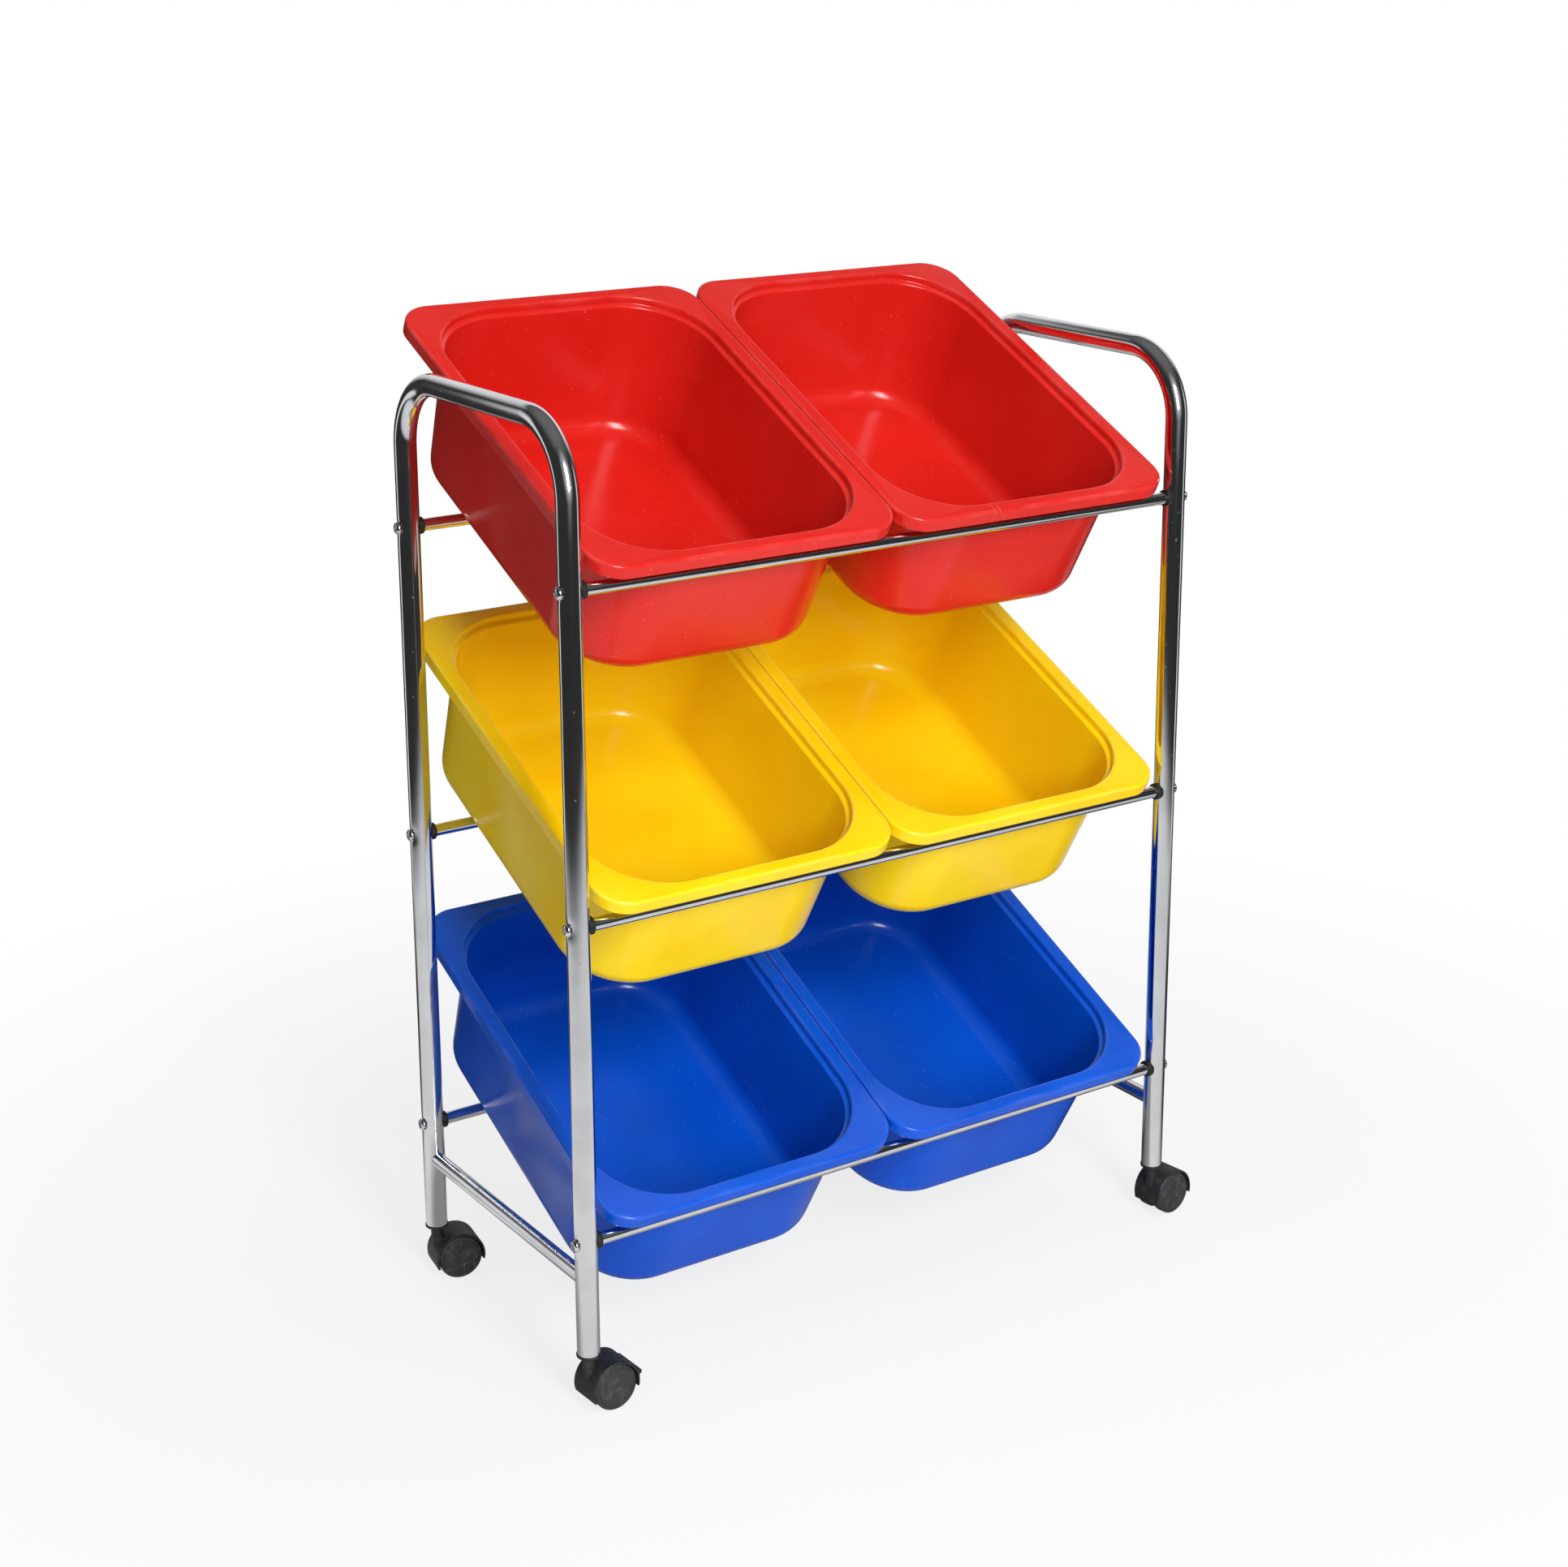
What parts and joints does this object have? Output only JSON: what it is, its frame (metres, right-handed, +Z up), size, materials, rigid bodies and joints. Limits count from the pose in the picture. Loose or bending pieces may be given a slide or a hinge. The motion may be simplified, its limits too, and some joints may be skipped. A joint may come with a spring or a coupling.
{
  "type": "rolling bin cart",
  "caption": "Rolling cart with tiers of tilted lift-out plastic bins on a chromed tube frame, with a handle at each side and twin-wheel swivel casters.",
  "frame": {"origin": "on the floor, midway between the four legs", "axes": "+X to the right of a person who faces the cart's low front edge, +Y from front to back, +Z up"},
  "size_m": [0.6585, 0.3671, 0.8624],
  "materials": {
    "chrome_tube": "bright chromed steel tube",
    "chrome_screw": "bright plated steel",
    "steel": "plain zinc plated steel",
    "black_nylon": "black moulded nylon, satin",
    "black_nylon_wheel": "black moulded nylon, fine grain",
    "blue_plastic": "satin moulded plastic",
    "yellow_plastic": "satin moulded plastic",
    "red_plastic": "satin moulded plastic"
  },
  "bodies": {
    "frame": {"left_side_frame": "chrome_tube", "right_side_frame": "chrome_tube", "left_brace": "chrome_tube", "right_brace": "chrome_tube", "bottom_front_rail": "chrome_tube", "bottom_back_rail": "chrome_tube", "middle_front_rail": "chrome_tube", "middle_back_rail": "chrome_tube", "top_front_rail": "chrome_tube", "top_back_rail": "chrome_tube", "rail_bushes": "black_nylon", "rail_inserts": "steel", "rail_screws": "chrome_screw", "caster_sockets": "black_nylon"},
    "bottom_left_bin": {"bottom_left_bin": "blue_plastic"},
    "bottom_right_bin": {"bottom_right_bin": "blue_plastic"},
    "middle_left_bin": {"middle_left_bin": "yellow_plastic"},
    "middle_right_bin": {"middle_right_bin": "yellow_plastic"},
    "top_left_bin": {"top_left_bin": "red_plastic"},
    "top_right_bin": {"top_right_bin": "red_plastic"},
    "front_left_caster": {"front_left_hood": "black_nylon", "front_left_stem": "steel", "front_left_axle": "steel"},
    "front_left_front_wheel": {"front_left_front_wheel": "black_nylon_wheel"},
    "front_left_back_wheel": {"front_left_back_wheel": "black_nylon_wheel"},
    "back_left_caster": {"back_left_hood": "black_nylon", "back_left_stem": "steel", "back_left_axle": "steel"},
    "back_left_front_wheel": {"back_left_front_wheel": "black_nylon_wheel"},
    "back_left_back_wheel": {"back_left_back_wheel": "black_nylon_wheel"},
    "front_right_caster": {"front_right_hood": "black_nylon", "front_right_stem": "steel", "front_right_axle": "steel"},
    "front_right_front_wheel": {"front_right_front_wheel": "black_nylon_wheel"},
    "front_right_back_wheel": {"front_right_back_wheel": "black_nylon_wheel"},
    "back_right_caster": {"back_right_hood": "black_nylon", "back_right_stem": "steel", "back_right_axle": "steel"},
    "back_right_front_wheel": {"back_right_front_wheel": "black_nylon_wheel"},
    "back_right_back_wheel": {"back_right_back_wheel": "black_nylon_wheel"},
    "front_left_brake_lever": {"front_left_brake_lever": "black_nylon"},
    "back_right_brake_lever": {"back_right_brake_lever": "black_nylon"}
  },
  "joints": [
    {"name": "bottom_left_bin_lift", "type": "slide", "parent": "frame", "child": "bottom_left_bin", "axis": [0, -0.429, 0.9033], "range_m": [0, 0.09]},
    {"name": "bottom_right_bin_lift", "type": "slide", "parent": "frame", "child": "bottom_right_bin", "axis": [0, -0.429, 0.9033], "range_m": [0, 0.09]},
    {"name": "middle_left_bin_lift", "type": "slide", "parent": "frame", "child": "middle_left_bin", "axis": [0, -0.429, 0.9033], "range_m": [0, 0.09]},
    {"name": "middle_right_bin_lift", "type": "slide", "parent": "frame", "child": "middle_right_bin", "axis": [0, -0.429, 0.9033], "range_m": [0, 0.09]},
    {"name": "top_left_bin_lift", "type": "slide", "parent": "frame", "child": "top_left_bin", "axis": [0, -0.429, 0.9033], "range_m": [0, 0.15]},
    {"name": "top_right_bin_lift", "type": "slide", "parent": "frame", "child": "top_right_bin", "axis": [0, -0.429, 0.9033], "range_m": [0, 0.15]},
    {"name": "front_left_swivel", "type": "hinge", "parent": "frame", "child": "front_left_caster", "pos_m": [-0.302, -0.136, 0.051], "axis": [0, 0, 1], "continuous": true},
    {"name": "front_left_front_wheel_spin", "type": "hinge", "parent": "front_left_caster", "child": "front_left_front_wheel", "pos_m": [-0.28502, -0.13511, 0.0197], "axis": [0.0523, -0.9986, 0], "continuous": true},
    {"name": "front_left_back_wheel_spin", "type": "hinge", "parent": "front_left_caster", "child": "front_left_back_wheel", "pos_m": [-0.28502, -0.13511, 0.0197], "axis": [0.0523, -0.9986, 0], "continuous": true},
    {"name": "back_left_swivel", "type": "hinge", "parent": "frame", "child": "back_left_caster", "pos_m": [-0.302, 0.136, 0.051], "axis": [0, 0, 1], "continuous": true},
    {"name": "back_left_front_wheel_spin", "type": "hinge", "parent": "back_left_caster", "child": "back_left_front_wheel", "pos_m": [-0.28521, 0.13334, 0.0197], "axis": [-0.1564, -0.9877, 0], "continuous": true},
    {"name": "back_left_back_wheel_spin", "type": "hinge", "parent": "back_left_caster", "child": "back_left_back_wheel", "pos_m": [-0.28521, 0.13334, 0.0197], "axis": [-0.1564, -0.9877, 0], "continuous": true},
    {"name": "front_right_swivel", "type": "hinge", "parent": "frame", "child": "front_right_caster", "pos_m": [0.302, -0.136, 0.051], "axis": [0, 0, 1], "continuous": true},
    {"name": "front_right_front_wheel_spin", "type": "hinge", "parent": "front_right_caster", "child": "front_right_front_wheel", "pos_m": [0.31887, -0.13393, 0.0197], "axis": [0.1219, -0.9925, 0], "continuous": true},
    {"name": "front_right_back_wheel_spin", "type": "hinge", "parent": "front_right_caster", "child": "front_right_back_wheel", "pos_m": [0.31887, -0.13393, 0.0197], "axis": [0.1219, -0.9925, 0], "continuous": true},
    {"name": "back_right_swivel", "type": "hinge", "parent": "frame", "child": "back_right_caster", "pos_m": [0.302, 0.136, 0.051], "axis": [0, 0, 1], "continuous": true},
    {"name": "back_right_front_wheel_spin", "type": "hinge", "parent": "back_right_caster", "child": "back_right_front_wheel", "pos_m": [0.31896, 0.13481, 0.0197], "axis": [-0.0698, -0.9976, 0], "continuous": true},
    {"name": "back_right_back_wheel_spin", "type": "hinge", "parent": "back_right_caster", "child": "back_right_back_wheel", "pos_m": [0.31896, 0.13481, 0.0197], "axis": [-0.0698, -0.9976, 0], "continuous": true},
    {"name": "front_left_brake_lever_press", "type": "hinge", "parent": "front_left_caster", "child": "front_left_brake_lever", "pos_m": [-0.26372, -0.13399, 0.02746], "axis": [-0.0523, 0.9986, 0], "range_deg": [0, 3.5]},
    {"name": "back_right_brake_lever_press", "type": "hinge", "parent": "back_right_caster", "child": "back_right_brake_lever", "pos_m": [0.34024, 0.13333, 0.02746], "axis": [0.0698, 0.9976, 0], "range_deg": [0, 3.5]}
  ]
}
